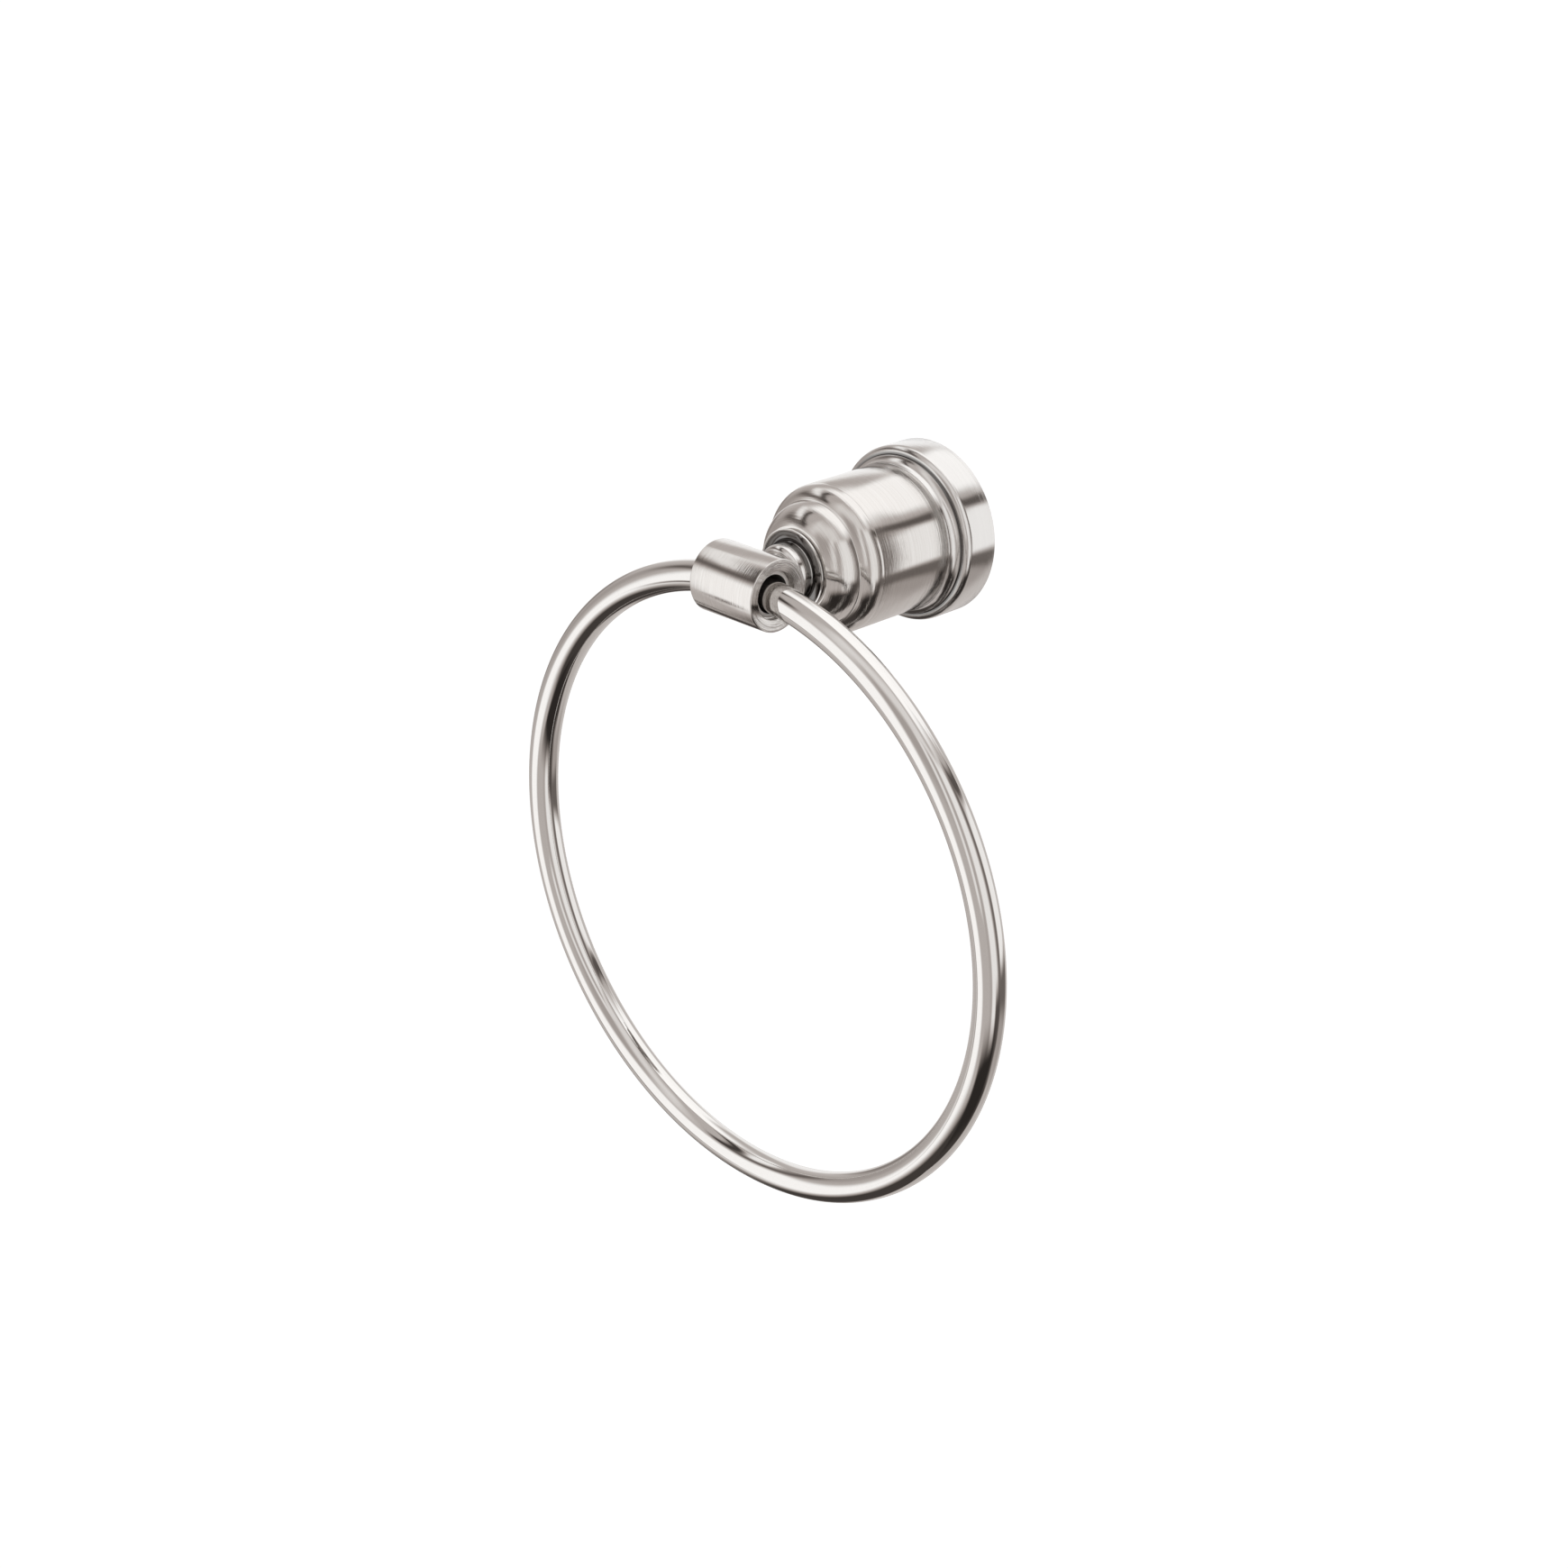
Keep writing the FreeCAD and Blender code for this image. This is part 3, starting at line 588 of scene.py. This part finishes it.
class TOWEL_OT_body_sleeve(bpy.types.Operator):
    """Make the brushed tube of the post"""
    bl_idname = "towel.body_sleeve"
    bl_label = "Body sleeve"

    def execute(self, context):
        size = context.scene.towel_post
        outline = Outline(size.sleeve_bore, size.flange_front)
        outline.line(size.sleeve_radius, size.flange_front)
        outline.line(size.sleeve_radius, size.sleeve_front)
        outline.line(size.sleeve_bore, size.sleeve_front)
        outline.close()
        mesh = turn_mesh(outline.spun(arris=size.arris), FROM_WALL)
        piece_from(mesh, "body_sleeve_tube", "brushed_nickel", "post", "body_sleeve")
        return {"FINISHED"}


class TOWEL_OT_dome_cap(bpy.types.Operator):
    """Make the turned cap with its shoulder and dome"""
    bl_idname = "towel.dome_cap"
    bl_label = "Dome cap"

    def execute(self, context):
        size = context.scene.towel_post
        dome_start = size.sleeve_front + size.shoulder_height
        outline = Outline(size.sleeve_bore - CAP_SEAT, size.sleeve_front)
        outline.line(size.sleeve_radius, size.sleeve_front)
        outline.arc(size.sleeve_radius - size.shoulder_fall, dome_start,
                    sweep_rise(size.shoulder_height, size.shoulder_fall), 40)
        outline.arc(size.dome_land, size.dome_front, size.dome_rise, 48)
        outline.line(BOLT_HOLE, size.dome_front)
        outline.line(BOLT_HOLE, size.sleeve_front)
        outline.close()
        mesh = turn_mesh(outline.spun(arris=size.arris), FROM_WALL)
        piece_from(mesh, "dome_cap_turning", "turned_nickel", "post", "dome_cap")
        return {"FINISHED"}


class TOWEL_OT_collar_ring(bpy.types.Operator):
    """Make the dished collar"""
    bl_idname = "towel.collar_ring"
    bl_label = "Collar ring"

    def execute(self, context):
        size = context.scene.towel_post
        holder = context.scene.towel_holder
        floor = size.dome_front + size.collar_floor
        outline = Outline(BOLT_HOLE, size.dome_front)
        outline.line(size.collar_back, size.dome_front)
        outline.line(size.collar_radius, size.collar_front - size.collar_lip_height)
        outline.line(size.collar_radius, size.collar_front)
        outline.line(size.collar_radius - size.collar_lip, size.collar_front)
        outline.arc(holder.neck_radius + holder.neck_foot + FOOT_PLAY, floor,
                    -size.collar_trough, 16)
        outline.line(BOLT_HOLE, floor)
        outline.close()
        mesh = turn_mesh(outline.spun(arris=size.arris * COLLAR_ARRIS), FROM_WALL)
        piece_from(mesh, "collar_ring_turning", "dished_nickel", "post", "collar_ring")
        return {"FINISHED"}


class TOWEL_OT_ring_holder(bpy.types.Operator):
    """Make the cross barrel with its neck"""
    bl_idname = "towel.ring_holder"
    bl_label = "Ring holder"

    def execute(self, context):
        size = context.scene.towel_holder
        piece_from(holder_barrel(size), "ring_holder_barrel", "barrel_nickel", "post",
                   "ring_holder")
        piece_from(holder_neck(size), "ring_holder_neck", "dished_nickel", "post",
                   "ring_holder")
        return {"FINISHED"}


def sweep_rise(height, fall):
    """How far an arc's middle stands off its chord if it leaves a cylinder tangentially."""
    radius = (height * height + fall * fall) / (2 * fall)
    return radius - math.sqrt(radius ** 2 - (height * height + fall * fall) / 4)


def quarter_rise(radius):
    """How far a quarter circle's middle stands off its chord."""
    return radius * (1 - math.sqrt(0.5))


def holder_barrel(size):
    """Barrel with dished ends and a stepped pocket in each, about the X axis."""
    outline = None
    for side in (-1, 1):
        half = Outline(0, side * size.web_half)
        half.line(size.bush_radius, side * size.web_half)
        half.line(size.bush_radius, side * (size.barrel_half - size.mouth_depth))
        half.line(size.mouth_radius, side * (size.barrel_half - size.mouth_depth))
        half.line(size.mouth_radius, side * (size.barrel_half - size.dish_depth))
        half.line(size.barrel_radius - size.edge_round, side * size.barrel_half)
        half.arc(size.barrel_radius, side * (size.barrel_half - size.edge_round),
                 -side * quarter_rise(size.edge_round), 5)
        half.line(size.barrel_radius, 0)
        if outline is None:
            outline = half
        else:
            join_meshes(outline.mesh, half.mesh)
    return turn_mesh(outline.spun(arris=BARREL_ARRIS), onto_barrel(size))


def holder_neck(size):
    """Round neck whose front end lies on the barrel."""
    foot = size.axis_reach - size.neck_length
    stem = size.neck_radius - size.neck_round
    outline = Outline(NECK_BORE, foot)
    outline.line(size.neck_radius + size.neck_foot, foot)
    outline.arc(size.neck_radius, foot + size.neck_foot, -quarter_rise(size.neck_foot), 8)
    outline.line(size.neck_radius, foot + size.neck_band)
    outline.arc(stem, foot + size.neck_band + size.neck_round, quarter_rise(size.neck_round), 12)
    outline.line(stem, size.axis_reach - NECK_END)
    outline.line(NECK_BORE, size.axis_reach - NECK_END)
    outline.close()
    return turn_mesh(outline.spun(arris=NECK_ARRIS), FROM_WALL)


def join_meshes(target, added):
    """Move one bmesh's geometry into another."""
    data = bpy.data.meshes.new("joining")
    added.to_mesh(data)
    added.free()
    target.from_mesh(data)
    bpy.data.meshes.remove(data)


class TOWEL_OT_bushes(bpy.types.Operator):
    """Make the two liners"""
    bl_idname = "towel.bushes"
    bl_label = "Bushes"

    def execute(self, context):
        size = context.scene.towel_holder
        for node, side in (("bush_right", 1), ("bush_left", -1)):
            outline = Outline(size.bush_bore, side * size.bush_back)
            outline.line(size.bush_bore, side * (size.bush_front - size.bush_round))
            outline.arc(size.bush_bore + size.bush_round, side * size.bush_front,
                        -side * quarter_rise(size.bush_round), 5)
            outline.line(size.bush_radius - size.bush_round, side * size.bush_front)
            outline.arc(size.bush_radius, side * (size.bush_front - size.bush_round),
                        -side * quarter_rise(size.bush_round), 5)
            outline.line(size.bush_radius, side * size.bush_back)
            outline.close()
            mesh = turn_mesh(outline.spun(steps=BUSH_STEPS), onto_barrel(size))
            piece_from(mesh, node + "_liner", "liner", "post", node)
        return {"FINISHED"}


class TOWEL_OT_towel_ring(bpy.types.Operator):
    """Make the bent rod"""
    bl_idname = "towel.towel_ring"
    bl_label = "Towel ring"

    def execute(self, context):
        size = context.scene.towel_ring
        reach = context.scene.towel_holder.axis_reach
        half_gap = math.asin(size.end_gap / 2 / size.bend_radius)
        mesh = bmesh.new()
        bmesh.ops.create_circle(mesh, cap_ends=True, segments=ROD_STEPS, radius=size.rod_radius)
        centre = Vector((0, -reach, -size.bend_radius))
        stand = Matrix.Translation((0, -reach, 0)) @ Matrix.Rotation(math.pi / 2, 4, "Y")
        bmesh.ops.transform(mesh, matrix=stand, verts=mesh.verts)
        bmesh.ops.rotate(mesh, cent=centre, matrix=Matrix.Rotation(half_gap, 3, "Y"),
                         verts=mesh.verts)
        bmesh.ops.spin(mesh, geom=mesh.faces[:], cent=centre, axis=(0, 1, 0),
                       angle=TURN - 2 * half_gap, steps=RING_STEPS, use_duplicate=False)
        bmesh.ops.remove_doubles(mesh, verts=mesh.verts, dist=WELD)
        inside = [face for face in mesh.faces if len(face.verts) > 4
                  and all(len(edge.link_faces) > 2 for edge in face.edges)]
        bmesh.ops.delete(mesh, geom=inside, context="FACES_ONLY")
        piece_from(mesh, "towel_ring_rod", "polished_nickel", "ring", "towel_ring",
                   sharp=SHARP_ROD_ANGLE)
        return {"FINISHED"}


class TOWEL_OT_hardware(bpy.types.Operator):
    """Finish the hidden plate, bolt, washer and grub screw"""
    bl_idname = "towel.hardware"
    bl_label = "Hidden hardware"

    def execute(self, context):
        for node, material in (("wall_plate", "plated_steel"), ("tie_bolt", "plated_steel"),
                               ("spring_washer", "plated_steel"), ("set_screw", "dark_steel")):
            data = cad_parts[node].data
            data.materials.clear()
            data.materials.append(finish_of(material))
        return {"FINISHED"}


class TOWEL_OT_stage(bpy.types.Operator):
    """Set up the floor, the light and the camera"""
    bl_idname = "towel.stage"
    bl_label = "Stage"

    def execute(self, context):
        studio = context.scene.towel_studio
        context.scene.view_settings.view_transform = "Standard"
        set_camera(context, studio)
        set_world(context, studio)
        make_floor(context, studio)
        return {"FINISHED"}


def set_camera(context, studio):
    """Stand the camera where the photograph was taken from."""
    data = bpy.data.cameras.new("camera")
    data.lens = studio.focal_length
    data.clip_start = 10 * MM
    camera = bpy.data.objects.new("camera", data)
    back = Vector((math.sin(studio.azimuth) * math.cos(studio.elevation),
                   -math.cos(studio.azimuth) * math.cos(studio.elevation),
                   math.sin(studio.elevation)))
    camera.rotation_euler = (-back).to_track_quat("-Z", "Y").to_euler()
    camera.location = studio.camera_place
    context.scene.collection.objects.link(camera)
    context.scene.camera = camera


class Card(typing.NamedTuple):
    """A soft-edged card of the studio: place and half size in degrees, brightness, and lean."""
    azimuth: float
    elevation: float
    half_width: float
    half_height: float
    edge: float
    brightness: float
    lean: float = 0.0


ROOM = 0.56  # brightness where no card stands
CARDS = (
    Card(-150, -20, 38, 42, 14, 0.62),      # side wall
    Card(-136, 2, 16, 18, 6, 1.0),          # pale strip on it
    Card(178, 44, 34, 24, 5, 1.20),         # window behind the wall
    Card(138, -2, 30, 24, 5, 1.05),         # pale panel under it
    Card(142, -36, 28, 11, 8, 0.42),        # shade below the panel
    Card(142, -25, 28, 6, 3.5, 0.17),       # black strip in it
    Card(141, 32, 24, 8, 6, 0.55, -0.48),   # shade above the panel
    Card(141, 26.8, 24, 4.5, 3, 0.12, -0.48),  # black strip in it
    Card(176, 72, 82, 22, 12, 1.25),        # ceiling over the wall side
    Card(25, 52, 48, 22, 12, 0.85),         # grey ceiling in front
    Card(12, 28, 20, 16, 10, 0.46),         # grey gap between the softboxes
    Card(-84, 10, 13, 26, 10, 0.42),        # grey gap at the left
    Card(-82, 43, 25, 6, 4, 1.05),          # pale strip over it
    Card(-62, 30, 26, 6, 7, 0.14, 0.25),    # black flag at the left
    Card(-62, 50, 28, 5, 4, 0.06, -0.5),    # black bar that leans over it
    Card(-110, -9, 10, 12, 8, 0.26),        # small flags low at the left
    Card(-120, -42, 15, 9, 6, 0.05),
    Card(-32, -9, 25, 31, 7, 1.18),         # large softbox at the left
    Card(-52, -32, 4, 4, 3, 0.15),          # its clipped corner
    Card(37, 18, 7, 24, 4, 0.92),           # narrow softbox
    Card(52, 0, 8, 44, 4, 0.50),            # grey gap beside it
    Card(78, 0, 18, 46, 5, 0.98),           # tall softbox at the right
    Card(112, -2, 9, 43, 5, 0.20),          # black flags at the right
    Card(100, -40, 16, 16, 6, 0.10),
    Card(0, -78, 128, 28, 7, 0.06),         # dark bench below
    Card(60, -56, 44, 17, 8, 0.03),         # black bench edge
)


def set_world(context, studio):
    """White for the view, softboxes and flags for reflections, even light for matt surfaces."""
    shader = Shader("studio", bpy.data.worlds)
    context.scene.world = shader.owner
    here = shader.node("ShaderNodeTexCoord", None, output=0)
    x, y, z = (shader.node("ShaderNodeSeparateXYZ", None, here, output=axis) for axis in range(3))
    azimuth = x.maths("ARCTAN2", y * -1)
    elevation = z.maths("ARCSINE")
    light = ROOM
    for card in CARDS:
        across = (azimuth - math.radians(card.azimuth)).maths("WRAP", math.pi, -math.pi)
        upward = elevation - math.radians(card.elevation) - across * card.lean
        mask = (shader.soft_edge(across, card.half_width, card.edge)
                * shader.soft_edge(upward, card.half_height, card.edge))
        light = mask * (card.brightness - light) + light
    seen = shader.node("ShaderNodeLightPath", None, output="Is Camera Ray")
    mirrored = shader.node("ShaderNodeLightPath", None, output="Is Glossy Ray")
    strength = (light * mirrored * studio.card_light + seen
                + (1 - mirrored) * (1 - seen) * studio.room_light)
    tint = shader.between(studio.shade_tint, (1, 1, 1), light * mirrored + (1 - mirrored))
    background = shader.node("ShaderNodeBackground", None, tint, strength)
    out = shader.tree.nodes.new("ShaderNodeOutputWorld")
    shader.tree.links.new(background.socket, out.inputs["Surface"])


def make_floor(context, studio):
    """Plain pale floor that shows white to the view and keeps the object's shadow."""
    mesh = bmesh.new()
    bmesh.ops.create_grid(mesh, x_segments=1, y_segments=1, size=FLOOR_HALF)
    bmesh.ops.translate(mesh, vec=(0, 0, -studio.floor_drop), verts=mesh.verts)
    data = bpy.data.meshes.new("floor")
    mesh.to_mesh(data)
    mesh.free()
    shader = Shader("floor")
    seen = shader.node("ShaderNodeLightPath", None, output="Is Camera Ray")
    data.materials.append(shader.surface(
        Base_Color=(0.9, 0.9, 0.9, 1), Roughness=0.9, Emission_Color=(1, 1, 1, 1),
        Emission_Strength=seen * FLOOR_GLOW))
    floor = bpy.data.objects.new("floor", data)
    floor.visible_glossy = False
    context.scene.collection.objects.link(floor)


class VIEW3D_PT_towel_ring(bpy.types.Panel):
    """Sizes, finishes and operators of the towel ring"""
    bl_label = "Towel Ring"
    bl_idname = "VIEW3D_PT_towel_ring"
    bl_space_type = "VIEW_3D"
    bl_region_type = "UI"
    bl_category = "Towel Ring"

    def draw(self, context):
        for group in GROUPS:
            settings = getattr(context.scene, group)
            for name in settings.__annotations__:
                self.layout.prop(settings, name)
        for operator in OPERATORS:
            self.layout.operator(operator.bl_idname)


GROUPS = {
    "towel_post": PostSizes,
    "towel_holder": HolderSizes,
    "towel_ring": RingSizes,
    "towel_finishes": Finishes,
    "towel_studio": Studio,
}
OPERATORS = (
    TOWEL_OT_wall_flange,
    TOWEL_OT_body_sleeve,
    TOWEL_OT_dome_cap,
    TOWEL_OT_collar_ring,
    TOWEL_OT_ring_holder,
    TOWEL_OT_bushes,
    TOWEL_OT_towel_ring,
    TOWEL_OT_hardware,
    TOWEL_OT_stage,
)


def register():
    """Register the classes and hang their settings on the scene."""
    for group in (*GROUPS.values(), *OPERATORS, VIEW3D_PT_towel_ring):
        bpy.utils.register_class(group)
    for name, group in GROUPS.items():
        setattr(bpy.types.Scene, name, bpy.props.PointerProperty(type=group))


def unregister():
    """Take the settings and the classes away again."""
    for name in GROUPS:
        delattr(bpy.types.Scene, name)
    for group in (VIEW3D_PT_towel_ring, *OPERATORS, *GROUPS.values()):
        bpy.utils.unregister_class(group)


def main():
    """Build every piece."""
    register()
    for operator in OPERATORS:
        family, name = operator.bl_idname.split(".")
        getattr(getattr(bpy.ops, family), name)()


if __name__ == "__main__":
    main()
